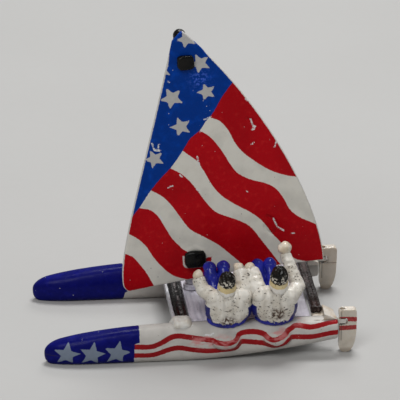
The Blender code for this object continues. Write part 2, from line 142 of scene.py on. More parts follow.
def mesh_object(name, vertices, faces, marks):
    """A smooth-shaded mesh from vertices in mm, its faces turned outwards; marks become attributes."""
    mesh = bpy.data.meshes.new(name)
    mesh.from_pydata((np.asarray(vertices, float) * MM).tolist(), [], faces)
    bm = bmesh.new()
    bm.from_mesh(mesh)
    bmesh.ops.recalc_face_normals(bm, faces=bm.faces)
    bm.to_mesh(mesh)
    bm.free()
    for key, values in marks.items():
        mesh.attributes.new(key, "FLOAT", "POINT").data.foreach_set("value", values.astype(np.float32))
    mesh.polygons.foreach_set("use_smooth", [True] * len(mesh.polygons))
    mesh.update()
    obj = bpy.data.objects.new(name, mesh)
    bpy.context.scene.collection.objects.link(obj)
    return obj


def finish_piece(obj, paint, node):
    """Paints a piece, hands it to its body and lets it stand for its CAD node."""
    obj.data.materials.append(paint)
    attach(obj, frame["nodes"][node]["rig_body"])
    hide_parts(node)


def softened(node, voxel, rounds):
    """The node's shape remeshed finely with its edges melted: vertices and normals in mm, and faces."""
    weld = 0.0005
    source = frame["nodes"][node].data
    bm = bmesh.new()
    bm.from_mesh(source)
    bmesh.ops.scale(bm, vec=(1 / MM,) * 3, verts=bm.verts)
    bmesh.ops.remove_doubles(bm, verts=bm.verts, dist=weld)
    mesh = bpy.data.meshes.new("soft")
    bm.to_mesh(mesh)
    bm.free()
    obj = bpy.data.objects.new("soft", mesh)
    bpy.context.scene.collection.objects.link(obj)
    remesh = obj.modifiers.new("remesh", "REMESH")
    remesh.mode = "VOXEL"
    remesh.voxel_size = voxel
    melt = obj.modifiers.new("melt", "SMOOTH")
    melt.factor = 0.5
    melt.iterations = rounds
    done = obj.evaluated_get(bpy.context.evaluated_depsgraph_get()).to_mesh()
    vertices = np.zeros(len(done.vertices) * 3)
    normals = np.zeros(len(done.vertices) * 3)
    done.vertices.foreach_get("co", vertices)
    done.vertices.foreach_get("normal", normals)
    faces = [tuple(polygon.vertices) for polygon in done.polygons]
    bpy.data.objects.remove(obj)
    return vertices.reshape(-1, 3), normals.reshape(-1, 3), faces


# ------------------------ paint


class Paint:
    """A material made of procedural nodes, with positions in millimetres."""

    def __init__(self, name):
        self.material = bpy.data.materials.new(name)
        self.material.use_nodes = True
        self.tree = self.material.node_tree
        self.tree.nodes.clear()
        output = self.add("ShaderNodeOutputMaterial")
        self.surface = self.add("ShaderNodeBsdfPrincipled")
        self.tree.links.new(self.surface.outputs[0], output.inputs["Surface"])
        scale = self.add("ShaderNodeVectorMath", operation="MULTIPLY")
        scale.inputs[1].default_value = (1 / MM,) * 3
        self.tree.links.new(self.add("ShaderNodeTexCoord").outputs["Object"], scale.inputs[0])
        self.place = scale.outputs[0]

    def add(self, kind, **settings):
        made = self.tree.nodes.new(kind)
        for key, value in settings.items():
            setattr(made, key, value)
        return made

    def put(self, socket, value):
        if isinstance(value, bpy.types.NodeSocket):
            self.tree.links.new(value, socket)
        elif isinstance(value, tuple) and len(value) == 3 and socket.type == "RGBA":
            socket.default_value = value + (1.0,)
        else:
            socket.default_value = value

    def noise(self, scale, detail=3.0, stretch=(1.0, 1.0, 1.0)):
        """Cloudy noise from 0 to 1; scale is in features per millimetre."""
        place = self.add("ShaderNodeVectorMath", operation="MULTIPLY")
        self.put(place.inputs[0], self.place)
        place.inputs[1].default_value = stretch
        node = self.add("ShaderNodeTexNoise")
        self.put(node.inputs["Vector"], place.outputs[0])
        node.inputs["Scale"].default_value = scale
        node.inputs["Detail"].default_value = detail
        return node.outputs["Fac"]

    def math(self, operation, a, b=0.0):
        node = self.add("ShaderNodeMath", operation=operation)
        self.put(node.inputs[0], a)
        self.put(node.inputs[1], b)
        return node.outputs[0]

    def step(self, value, low, high, top=1.0):
        """A soft step from 0 at low to top at high."""
        node = self.add("ShaderNodeMapRange", interpolation_type="SMOOTHSTEP")
        self.put(node.inputs["Value"], value)
        node.inputs["From Min"].default_value = low
        node.inputs["From Max"].default_value = high
        node.inputs["To Max"].default_value = top
        return node.outputs["Result"]

    def attribute(self, name):
        return self.add("ShaderNodeAttribute", attribute_name=name).outputs["Fac"]

    def mix(self, factor, a, b):
        """Colour a where the factor is 0, b where it is 1."""
        node = self.add("ShaderNodeMix", data_type="RGBA")
        factor_socket, a_socket, b_socket = node.inputs[0], node.inputs[6], node.inputs[7]
        self.put(factor_socket, factor)
        self.put(a_socket, a)
        self.put(b_socket, b)
        return node.outputs[2]

    def specks(self, scale, size, share):
        """Scattered dots: share of the cells hold one, size is the largest radius in cells."""
        node = self.add("ShaderNodeTexVoronoi")
        self.put(node.inputs["Vector"], self.place)
        node.inputs["Scale"].default_value = scale
        split = self.add("ShaderNodeSeparateColor")
        self.put(split.inputs[0], node.outputs["Color"])
        reach = self.math("MULTIPLY", self.math("SUBTRACT", split.outputs[0], 1 - share), size / share)
        return self.step(self.math("SUBTRACT", reach, node.outputs["Distance"]), 0.0, 0.06)

    def both(self, a, b):
        return self.math("MULTIPLY", a, b)

    def shaken(self, key, wobble):
        """A mark's distance with a little noise added, for ragged edges."""
        return self.math("ADD", self.attribute(key), wobble)

    def wobble(self, detail, depth):
        return self.math("MULTIPLY", self.math("SUBTRACT", self.noise(3.0, detail), 0.5), depth)

    def bumps(self, *layers):
        """Bump layers, each a height socket and its depth in millimetres."""
        normal = None
        for height, depth in layers:
            node = self.add("ShaderNodeBump")
            node.inputs["Strength"].default_value = 1.0
            node.inputs["Distance"].default_value = depth * MM
            self.put(node.inputs["Height"], height)
            if normal is not None:
                self.put(node.inputs["Normal"], normal)
            normal = node.outputs[0]
        self.put(self.surface.inputs["Normal"], normal)

    def done(self, colour, roughness, coat=0.0, scatter=0.0, gloss=0.25):
        self.put(self.surface.inputs["Base Color"], colour)
        self.put(self.surface.inputs["Roughness"], roughness)
        self.surface.inputs["Coat Weight"].default_value = coat
        self.surface.inputs["Coat Roughness"].default_value = 0.12
        self.surface.inputs["Specular IOR Level"].default_value = gloss
        self.surface.inputs["Subsurface Weight"].default_value = scatter
        self.surface.inputs["Subsurface Scale"].default_value = 1.0 * MM
        self.surface.inputs["Subsurface Radius"].default_value = (1.0, 0.8, 0.6)
        return self.material


def dimmed(colour, share):
    return tuple(channel * share for channel in colour)


RED = (0.42, 0.003, 0.008)
RED_WORN = (0.50, 0.012, 0.014)
RED_HULL = (0.28, 0.010, 0.013)
RED_HULL_WORN = (0.36, 0.028, 0.026)
BLUE = (0.001, 0.034, 0.240)
BLUE_HULL = (0.004, 0.005, 0.105)
WHITE = (0.68, 0.66, 0.60)
STAR = (0.52, 0.51, 0.50)
DARK_SPECK = (0.03, 0.025, 0.02)
FLECK = (0.035, 0.025, 0.020)
CHIP = (0.66, 0.66, 0.66)
BLACKS = (0.003, 0.003, 0.003), (0.008, 0.007, 0.006)
PINK = (0.55, 0.20, 0.20)
# painted shadow under the lower edges of the hull's swellings
POD_SHADOW = (0.16, 0.07, 0.06)
HULL_WHITE = (0.50, 0.48, 0.45)
HULL_STAR = (0.20, 0.24, 0.31)


def printed_paint(name, blue, star_colour, with_rim, white, reds):
    """White plastic printed with a blue field, stars and red bands; all edges come from mesh attributes."""
    p = Paint(name)
    wobble = p.wobble(4.0, 0.20)

    def edge(key):
        return p.step(p.shaken(key, wobble), -0.05, 0.05)

    white = p.mix(p.step(p.noise(0.35, 5.0), 0.42, 0.68), white, dimmed(white, 0.88))
    white = p.mix(p.specks(1.6, 0.16, 0.16), white, DARK_SPECK)
    red = p.mix(p.step(p.noise(1.1, 6.0), 0.52, 0.75), *reds)
    red = p.mix(p.specks(1.8, 0.15, 0.14), red, CHIP)
    red = p.mix(p.both(p.step(p.noise(0.10, 2.0), 0.60, 0.40), 0.35), red, dimmed(reds[0], 0.62))
    field = p.mix(p.step(p.noise(0.8, 6.0), 0.45, 0.8), blue, dimmed(blue, 1.5))
    field = p.mix(p.specks(1.7, 0.17, 0.16), field, CHIP)
    scuff = p.both(p.attribute("scuff"), p.step(p.noise(2.2, 6.0), 0.48, 0.60))
    field = p.mix(p.both(scuff, 0.45), field, tuple(channel * 4 + 0.12 for channel in blue))
    stars = p.mix(p.noise(1.4, 5.0), star_colour, dimmed(star_colour, 0.78))
    colour = p.mix(edge("red"), white, red)
    colour = p.mix(edge("blue"), colour, field)
    colour = p.mix(p.both(edge("star"), edge("blue")), colour, stars)
    blots = p.step(p.noise(0.9, 5.0, (0.6, 1.0, 1.4)), 0.44, 0.62)
    smear = p.both(p.step(p.attribute("smear"), 0.1, 0.8), blots)
    colour = p.mix(p.both(smear, 0.75), colour, PINK)
    if with_rim:
        bare = p.step(p.shaken("rim", wobble), 0.10, 0.20)
        colour = p.mix(bare, p.mix(p.noise(1.0, 3.0), WHITE, STAR), colour)
    # white strokes: real scratches on the hull, painted glints of light on the sail
    gaps = p.step(p.noise(4.0, 2.0), 0.35, 0.5)
    colour = p.mix(p.both(p.step(p.attribute("scratch_and_glint"), 0.20, 0.12), gaps), colour, CHIP)
    colour = p.mix(p.both(p.step(p.attribute("seam"), 0.07, 0.03), 0.7), colour, DARK_SPECK)
    # painted shadow under the lower edges of the hull's swellings
    colour = p.mix(p.both(p.attribute("pod_shadow"), 0.8), colour, POD_SHADOW)
    rough = p.step(p.noise(0.7, 5.0), 0.2, 0.8, 0.32)
    p.bumps((p.noise(0.55, 3.0), 0.10), (p.noise(7.0, 3.0), 0.010), (p.attribute("dent"), 0.25))
    return p.done(colour, p.math("ADD", rough, 0.16), coat=0.03, scatter=0.04, gloss=0.04)


def plain_paint(name, colour, second, rough=0.4, coat=0.2, scatter=0.0, specks=None, streaks=None,
                chips=None, relief=0.04):
    """Coloured plastic with cloudy tone, specks, chips and streaks: paint, colour and finish."""
    p = Paint(name)
    tone = p.mix(p.step(p.noise(0.5, 5.0), 0.35, 0.7), colour, second)
    if streaks:
        shade, stretch = streaks
        tone = p.mix(p.step(p.noise(1.0, 5.0, stretch), 0.52, 0.72), tone, shade)
    if specks:
        shade, scale, size, share = specks
        tone = p.mix(p.specks(scale, size, share), tone, shade)
    if chips:
        shade, amount = chips
        tone = p.mix(p.step(p.noise(2.3, 6.0), amount, amount + 0.04), tone, shade)
    spread = p.step(p.noise(1.3, 5.0), 0.2, 0.8, 0.25)
    p.bumps((p.noise(1.6, 4.0), relief), (p.noise(8.0, 3.0), 0.010))
    return p, tone, {"roughness": p.math("ADD", spread, rough - 0.12), "coat": coat, "scatter": scatter}


def simple_paint(*args, gloss=0.25, **settings):
    """A plain_paint with nothing more on it."""
    p, tone, finish = plain_paint(*args, **settings)
    return p.done(tone, gloss=gloss, **finish)


# ------------------------ hulls

BOW_X, TRANSOM_X, HULL_Y, HALF_WIDTH = -27.0, 23.6, 12.3, 2.3
KNUCKLE_Z, KNUCKLE_LIFT = 1.9, 0.85
KEEL_FLAT_END, KEEL_RISE, KEEL_POWER, KEEL_DEPTH = -3.0, 3.1, 1.6, 0.35
DECK_Z, DECK_SLOPE = 6.45, 0.003
BOW_DROP, BOW_DROP_LENGTH, BOW_DROP_POWER = 2.6, 26.0, 2.4
# length and power of the bow's roundness, seen from above, at the deck and at the keel
PLAN_NOSE, DECK_NOSE, KEEL_NOSE = (8.0, 2.0), (3.0, 2.4), (2.0, 2.4)
STERN_TAPER, STERN_TAPER_X = 0.12, 10.0
TOP_POWER, BOTTOM_POWER = 0.8, 1 / 1.1
TOP_POINTS, BOTTOM_POINTS = 22, 14
BOW_RINGS, BOW_CROWDING, RING_STEP = 70, 1.8, 0.2
TRANSOM_ROUND, TRANSOM_RINGS = 0.3, 6
# the two swellings under the crew
POD_X, POD_Z, POD_RADII = (4.2, 13.0), (3.7, 4.0), (2.6, 1.8, 1.75)
POD_INSET = 0.65          # middle of a swelling, inside the hull's widest line
# width of the painted shadow line under each swelling
POD_SHADOW_WIDTH = 0.20
# end of the blue bow: above and below a girth on the hull with pods, slanting on the other
BORDER_TOP_X, BORDER_LOW_X, BORDER_STEP = -10.75, -11.7, 2.2
SLANT_X, SLANT = -11.75, 0.12
END_GAP = 0.02            # from an end to its first ring
PRINT_REACH = -0.9        # how far the print runs over the middle of the hull
SEAM_LENGTH = 2.8


def bow_share(x, length, power):
    """Share of the full size at x, which falls to nothing at the bow in a rounded end."""
    distance = BOW_X + length - x
    return 1.0 if distance <= 0 else max(0.0, 1 - (distance / length) ** power) ** (1 / power)


def keel_z(x):
    return KEEL_RISE * (max(0.0, x - KEEL_FLAT_END) / (TRANSOM_X - KEEL_FLAT_END)) ** KEEL_POWER


def deck_z(x):
    if x >= 0:
        return DECK_Z + DECK_SLOPE * x
    return DECK_Z - BOW_DROP * (-x / BOW_DROP_LENGTH) ** BOW_DROP_POWER


def knuckle_z(x):
    """Height of the hull's widest line."""
    return KNUCKLE_Z + KNUCKLE_LIFT * keel_z(x)


def quarter(half, height, power, count):
    """Points and arc lengths from the widest line to the top of a quarter section."""
    fine = 240
    turn = np.linspace(0, math.pi / 2, fine)
    curve = np.stack([half * np.cos(turn).clip(0) ** power, height * np.sin(turn).clip(0) ** power], 1)
    run = np.concatenate([[0], np.cumsum(np.hypot(*np.diff(curve, axis=0).T))])
    wanted = np.linspace(0, run[-1], count + 1)
    return np.stack([np.interp(wanted, run, curve[:, k]) for k in (0, 1)], 1), wanted


def section(x, grow=0.0):
    """Ring of (outward, z, girth) round one hull; girth runs up and down from the outboard knuckle."""
    knuckle = knuckle_z(x)
    taper = 1 - STERN_TAPER * max(0.0, (x - STERN_TAPER_X) / (TRANSOM_X - STERN_TAPER_X)) ** 2
    half = HALF_WIDTH * bow_share(x, *PLAN_NOSE) * taper + grow
    above = (deck_z(x) - knuckle) * bow_share(x, *DECK_NOSE) + grow
    below = (knuckle - keel_z(x) + KEEL_DEPTH) * bow_share(x, *KEEL_NOSE) + grow
    up, up_run = quarter(half, above, TOP_POWER, TOP_POINTS)
    low, low_run = quarter(half, below, BOTTOM_POWER, BOTTOM_POINTS)
    ring = [(o, knuckle + z, s) for (o, z), s in zip(up, up_run)]
    ring += [(-o, knuckle + z, 2 * up_run[-1] - s) for (o, z), s in zip(up[-2::-1], up_run[-2::-1])]
    ring += [(-o, knuckle - z, s - 2 * low_run[-1]) for (o, z), s in zip(low[1:], low_run[1:])]
    ring += [(o, knuckle - z, -s) for (o, z), s in zip(low[-2:0:-1], low_run[-2:0:-1])]
    ring = np.array(ring)
    ring[:, 1] = np.maximum(ring[:, 1], keel_z(x) - grow)
    return ring


def girth(x, z):
    """Girth of a point of the outboard side from its height."""
    ring = section(x)
    outboard = ring[ring[:, 0] > -1e-6]
    part = outboard[outboard[:, 2] >= 0] if z >= knuckle_z(x) else outboard[outboard[:, 2] <= 0]
    part = part[np.argsort(part[:, 1])]
    return float(np.interp(z, part[:, 1], part[:, 2]))


# middle lines of the red bands and tips of the bow stars: x and z on the outboard side
UPPER_BAND = ((-11.9, 3.4), (-9.0, 3.3), (-7.3, 3.8), (-5.6, 4.7), (-4.2, 5.0), (-2.1, 4.7), (-0.4, 4.4),
              (2.2, 4.0), (4.2, 3.9), (5.6, 4.2), (6.7, 5.1), (8.6, 5.3), (10.3, 5.0), (12.0, 4.2),
              (13.9, 4.8), (15.4, 5.6), (16.3, 6.0), (18.7, 5.7), (20.4, 5.9), (22.2, 6.2), (24.0, 6.3))
LOWER_BAND = ((-11.9, 1.8), (-9.0, 1.7), (-7.3, 2.1), (-5.6, 2.7), (-3.8, 2.9), (-1.3, 2.4), (1.3, 2.1),
              (3.4, 2.2), (5.7, 2.5), (6.7, 3.6), (8.6, 3.5), (10.7, 3.2), (12.6, 2.5), (13.9, 3.0),
              (15.3, 4.1), (18.6, 4.0), (20.4, 4.2), (22.1, 4.5), (23.9, 4.6))
BAND_HALF = 0.46
HULL_STARS = (((-22.9, 4.3), (-20.9, 2.5), (-22.2, 0.6), (-24.9, 0.6), (-25.5, 3.0)),
              ((-18.5, 4.5), (-16.6, 2.4), (-17.9, 0.4), (-20.8, 0.6), (-21.0, 3.3)),
              ((-14.1, 4.6), (-12.2, 2.5), (-13.6, 0.5), (-16.5, 0.6), (-16.8, 3.4)))


def with_pods(x, outward, z):
    """The section pushed out over the swellings, and how strongly each point takes the painted shadow below
    a swelling's lower edge.
    """
    pod_shadow = np.zeros(len(x))
    for pod_x, pod_z in zip(POD_X, POD_Z):
        bulge = 1 - ((x - pod_x) / POD_RADII[0]) ** 2 - ((z - pod_z) / POD_RADII[2]) ** 2
        reach = HALF_WIDTH - POD_INSET + POD_RADII[1] * np.sqrt(bulge.clip(0))
        swollen = (bulge > 0) & (outward > 0)
        # the painted shadow follows the outline of each swelling's lower half
        low_side = np.clip((pod_z + 0.5 - z) / 0.9, 0, 1)
        line = np.exp(-((reach - outward) / POD_SHADOW_WIDTH) ** 2)
        pod_shadow = np.maximum(pod_shadow, line * swollen * low_side)
        outward = np.where(swollen, np.maximum(outward, reach), outward)
    return outward, pod_shadow


def hull_marks(x, run, outboard, has_pods):
    """Distances that place the print, for points at x and girth run."""
    flat = np.stack([x, run], 1)
    red = np.full(len(x), -1.0)
    for band in (UPPER_BAND, LOWER_BAND):
        line = smooth([(bx, girth(min(bx, TRANSOM_X), bz)) for bx, bz in band], 4)
        red = np.maximum(red, BAND_HALF - line_distance(flat, line))
    stars = np.full(len(x), -1.0)
    for tips in HULL_STARS:
        stars = np.maximum(stars, region(flat, star_from_tips([(tx, girth(tx, tz)) for tx, tz in tips])))
    slanted = SLANT_X + SLANT * np.abs(run)
    border = np.where(run > BORDER_STEP, BORDER_TOP_X, BORDER_LOW_X) if has_pods else slanted
    border = border + 0.08 * lattice_noise(np.stack([run, run * 0, run * 0], 1), 1.3, 4)
    # pinkish rubbed places: x, half length and girth
    rubbed = ((0.0, 2.2, 1.9), (4.2, 2.4, 1.6), (12.9, 2.2, 1.6), (16.6, 1.2, 3.4))
    smear = sum(np.exp(-((x - at) / wide) ** 2 - ((run - rise) / 1.3) ** 2) for at, wide, rise in rubbed)
    # a scratch in the hull's print; the same mark carries the painted glints on the sail
    scratch_and_glint = np.array([(0.4, 3.1), (1.3, 2.9), (2.0, 3.2)])
    return {"red": np.where(outboard, np.minimum(red, TRANSOM_X - END_GAP - x), -1.0),
            "star": np.where(outboard, stars, -1.0),
            "blue": (border - x).clip(-1.5, 1.5),
            "seam": np.where((x < BOW_X + SEAM_LENGTH) & outboard, np.abs(run), 1.0),
            "smear": np.where(outboard, smear, 0.0),
            "scratch_and_glint": line_distance(flat, scratch_and_glint),
            "dent": np.zeros(len(x)), "scuff": np.zeros(len(x))}


def hull(word, side, has_pods):
    """One hull's shell: rings from bow to transom, closed by a tip and a rounded transom."""
    bow_length = PLAN_NOSE[0]
    xs = [BOW_X + END_GAP + bow_length * t ** BOW_CROWDING for t in np.linspace(0, 1, BOW_RINGS)]
    xs += list(np.arange(xs[-1] + RING_STEP, TRANSOM_X - TRANSOM_ROUND - END_GAP, RING_STEP))
    rings = [(x, 0.0) for x in xs]
    rings += [(TRANSOM_X - TRANSOM_ROUND + TRANSOM_ROUND * math.sin(a), -TRANSOM_ROUND * (1 - math.cos(a)))
              for a in np.linspace(0, math.pi / 2, TRANSOM_RINGS)]
    rows = [np.insert(section(x, grow), 0, x, axis=1) for x, grow in rings]
    count = len(rows[0])
    x, outward, z, run = np.vstack(rows).T
    # painted shadow under the swellings; none on a hull without them
    pod_shadow = np.zeros(len(x))
    if has_pods:
        outward, pod_shadow = with_pods(x, outward, z)
    vertices = np.stack([x, side * (HULL_Y + outward), z], 1)
    tip = [BOW_X, side * HULL_Y, KNUCKLE_Z]
    stern = [TRANSOM_X, side * HULL_Y, (vertices[-count:, 2].max() + vertices[-count:, 2].min()) / 2]
    vertices = np.vstack([vertices, [tip, stern]])
    last = len(rows) - 1
    faces = []
    for k in range(count):
        nxt = (k + 1) % count
        for row in range(last):
            low, high = row * count, (row + 1) * count
            faces.append((low + k, low + nxt, high + nxt, high + k))
        faces.append((k, nxt, len(vertices) - 2))
        faces.append((last * count + k, last * count + nxt, len(vertices) - 1))
    outboard = np.append(outward > PRINT_REACH, [True, False])
    marks = hull_marks(np.append(x, [BOW_X, TRANSOM_X]), np.append(run, [0.0, 0.0]), outboard, has_pods)
    marks["pod_shadow"] = np.append(pod_shadow, [0.0, 0.0])
    obj = mesh_object(word + "_hull_shell", vertices, faces, marks)
    finish_piece(obj, HULL_PAINT, word + "_hull")


HULL_PAINT = printed_paint("hull_print", BLUE_HULL, HULL_STAR, False, HULL_WHITE, (RED_HULL, RED_HULL_WORN))
hull("port", -1, True)
hull("starboard", 1, False)

# ------------------------ sail

LEAN = math.radians(3.3)
MAST_FOOT_X, MAST_FOOT_Z = -0.1, 6.6
SAIL_FRONT, SAIL_BACK = -0.95, -0.15


def rig(x, y, z):
    """From the leaning mast's own plane to the boat's frame."""
    across = x * math.cos(LEAN) - z * math.sin(LEAN)
    along = x * math.sin(LEAN) + z * math.cos(LEAN)
    return MAST_FOOT_X + across, y, MAST_FOOT_Z + along


def bezier(a, b, c, d, steps):
    t = np.linspace(0, 1, steps + 1)[:-1, None]
    a, b, c, d = (np.array(q, float) for q in (a, b, c, d))
    return (1 - t) ** 3 * a + 3 * (1 - t) ** 2 * t * b + 3 * (1 - t) * t ** 2 * c + t ** 3 * d


# corners of the sail, in order round it
THROAT, TACK, CORNER = (-1.47, 47.7), (-12.1, 2.95), (-10.9, 1.3)
CLEW, PEAK, TIP = (23.1, 4.05), (0.5, 49.3), (0.1, 49.3)
# lower edge of the blue field, then the edges of the red bands from the top down
CANTON = ((8.4, 39.1), (6.6, 36.7), (5.0, 34.0), (3.7, 32.5), (2.6, 30.9), (0.8, 29.4), (-0.5, 27.4),
          (-2.5, 24.6), (-4.7, 22.3), (-6.5, 20.2), (-8.2, 17.7), (-9.9, 15.6))
STRIPES = (
    ((4.6, 33.0), (6.1, 32.2), (7.4, 30.4), (8.5, 27.9), (9.8, 26.0), (11.8, 24.1), (14.3, 22.2),
     (16.9, 21.0), (18.8, 20.5)),
    ((2.7, 30.7), (3.9, 29.8), (5.2, 28.2), (6.5, 26.0), (7.6, 23.8), (8.8, 22.1), (10.8, 20.8),
     (13.4, 19.8), (15.1, 18.7), (16.4, 16.8), (17.5, 14.4), (19.2, 12.7), (22.0, 11.1)),
    ((-0.5, 27.2), (0.6, 26.2), (1.8, 25.1), (2.9, 23.1), (4.2, 20.3), (5.8, 18.1), (8.0, 16.3),
     (10.2, 14.8), (11.9, 13.4), (13.2, 11.8), (14.2, 10.1), (15.6, 8.3), (17.7, 5.1), (20.0, 4.1)),
    ((-2.9, 24.2), (-1.2, 23.1), (0.4, 21.4), (1.7, 19.4), (3.0, 17.2), (4.7, 15.1), (7.4, 13.7),
     (9.3, 12.7), (10.8, 11.4), (12.4, 8.9), (13.8, 6.7), (15.1, 4.6)),
    ((-6.2, 20.2), (-4.4, 18.9), (-2.9, 17.0), (-1.6, 14.8), (0.0, 12.3), (2.2, 10.7), (4.8, 8.8),
     (6.8, 6.8), (8.4, 5.1), (9.4, 4.0)),
    ((-8.3, 17.1), (-6.7, 16.6), (-5.4, 15.3), (-4.3, 13.1), (-3.2, 10.9), (-1.9, 9.2), (-0.9, 8.2),
     (2.5, 6.3), (3.4, 5.6), (4.6, 4.2)),
    ((-10.6, 12.4), (-9.1, 11.3), (-7.8, 9.8), (-6.6, 7.6), (-5.3, 5.7), (-3.5, 3.8), (-1.3, 2.8),
     (0.1, 2.5)),
    ((-11.3, 8.6), (-10.1, 7.9), (-9.0, 6.4), (-7.8, 4.4), (-6.6, 1.7)),
)
# middle x and z, radius, and the direction of one tip in degrees
SAIL_STARS = ((-2.0, 37.3, 2.2, 42.3), (-0.7, 31.8, 2.0, 33.7), (4.0, 37.9, 1.8, 33.5),
              (3.1, 43.3, 2.0, 40.0), (-5.5, 26.2, 1.9, 38.8), (1.0, 48.0, 1.9, 37.7),
              (-3.5, 42.6, 1.8, 38.0))
PEGS = ((0.66, 43.87), (0.64, 6.64))
PEG_HALF = (1.8, 1.5)
FIELD_CORNERS = ((-40.0, 15.0), (-40.0, 60.0), (8.5, 60.0))


def long_line(points, reach=7.0):
    """The smooth curve with both ends run on straight."""
    line = smooth(points)
    ends = []
    for tip, neighbour in ((line[0], line[1]), (line[-1], line[-2])):
        away = tip - neighbour
        ends.append(tip + away / np.hypot(*away) * reach)
    return np.vstack([ends[0], line, ends[1]])


def sail_marks(flat):
    """Distances that place the print, for points in the sail's own plane."""
    blue = region(flat, np.vstack([long_line(CANTON, 12.0), FIELD_CORNERS]))
    lines = [long_line(points) for points in STRIPES]
    outlines = [np.vstack([lines[0], [(60.0, 20.0), (60.0, 70.0), (0.0, 70.0)]])]
    outlines += [np.vstack([lines[k], lines[k + 1][::-1]]) for k in (1, 3, 5)]
    outlines.append(np.vstack([lines[7], [(-20.0, -10.0), (-40.0, 0.0), (-40.0, 15.0)]]))
    red = np.max([region(flat, outline) for outline in outlines], 0)
    stars = np.max([region(flat, star(*numbers)) for numbers in SAIL_STARS], 0)
    return {"blue": blue.clip(-2, 2), "red": red.clip(-2, 2), "star": stars.clip(-2, 2)}


# painted glints, highlights of light drawn as short white strokes: middle x and z, length, lean in degrees
PAINTED_GLINTS = [(11.6, 31.2, 2.2, -75), (11.8, 30.4, 0.9, -140), (2.0, 25.2, 1.6, -80), (-3.0, 20.7, 0.9, 20),
          (10.2, 18.6, 0.3, -45), (15.4, 26.9, 1.1, -110), (14.8, 12.3, 1.5, -70), (15.8, 10.8, 1.3, -35),
          (17.9, 9.8, 0.6, 0), (-5.6, 28.5, 1.6, -75), (-4.8, 27.7, 0.9, -10), (-4.7, 28.5, 0.9, -110),
          (4.0, 33.0, 1.4, 20), (2.9, 30.7, 0.9, 25), (11.5, 27.5, 0.6, 40), (10.8, 35.8, 0.5, -50),
          (-2.4, 40.4, 0.3, -30), (1.8, 19.6, 0.8, -30), (-1.1, 22.6, 0.6, -50), (-4.9, 14.9, 0.9, -70)]
DENTS = (((13.6, 13.4), (14.5, 12.8), (15.1, 11.6), (14.9, 10.4)),
         ((13.0, 11.6), (13.4, 10.7), (14.2, 10.1)),
         ((10.8, 32.2), (11.6, 31.8), (11.8, 30.9)))
SCUFF, SCUFF_RADIUS = (3.0, 40.4), 1.5
BARE_HEAD_Z = 44.0        # the bare rim grows wider above this
COLLAR_POWER = 5.0        # how square a peg and the collar round it are
GRID = 0.3                # spacing of the plate's inner vertices
RIM_INSET = 0.22          # where the flat sides stop, inside the outline
# inset and y of the rounded rim's rows, from front to back
RIM_PROFILE = ((0.06, SAIL_FRONT + 0.07), (0.0, SAIL_FRONT + 0.26),
               (0.0, SAIL_BACK - 0.26), (0.06, SAIL_BACK - 0.07))


def stroke(x, z, length, lean):
    """A straight line from the numbers of a painted glint."""
    middle = np.array([x, z])
    half = length / 2 * np.array([math.cos(math.radians(lean)), math.sin(math.radians(lean))])
    return np.array([middle - half, middle + half])


def sail_wear(plane, outline):
    """The bare rim, painted glints, dents, scuff and the marks round the lower peg."""
    marks = sail_marks(plane)
    bare_head = ((plane[:, 1] - BARE_HEAD_Z) / 3.0).clip(0, 1) * 0.3
    marks["rim"] = np.minimum(region(plane, outline), 2.0).clip(0) + bare_head
    # painted glints: highlights of light drawn in white on the sail
    marks["scratch_and_glint"] = np.min([line_distance(plane, stroke(*glint)) for glint in PAINTED_GLINTS], 0).clip(0, 1)
    dents = np.min([line_distance(plane, smooth(line)) for line in DENTS], 0)
    marks["dent"] = -np.exp(-(dents / 0.3) ** 2)
    marks["seam"] = np.ones(len(plane))
    # no pink rubbing and no painted shadow on the sail
    marks["smear"] = marks["pod_shadow"] = np.zeros(len(plane))
    marks["scuff"] = np.exp(-(np.hypot(*(plane - SCUFF).T) / SCUFF_RADIUS) ** 2)
    # beside the lower peg, a piece of red ring and a pale collar
    around = plane - PEGS[1]
    turn = np.arctan2(around[:, 1], around[:, 0])
    lip = 0.55 - np.abs(np.hypot(*around.T) - 2.5 - 0.2 * np.sin(3 * turn))
    marks["red"] = np.maximum(marks["red"], np.minimum(lip, 0.8 - np.abs(turn + 0.8)))
    collar = ((np.abs(around) / PEG_HALF) ** COLLAR_POWER).sum(1) ** (1 / COLLAR_POWER)
    pale = (around[:, 0] < 1.2) & (around[:, 1] < 0.9)
    marks["rim"] = np.minimum(marks["rim"], np.where(pale, np.abs(collar - 1.10) * 1.6, 2.0))
    return marks


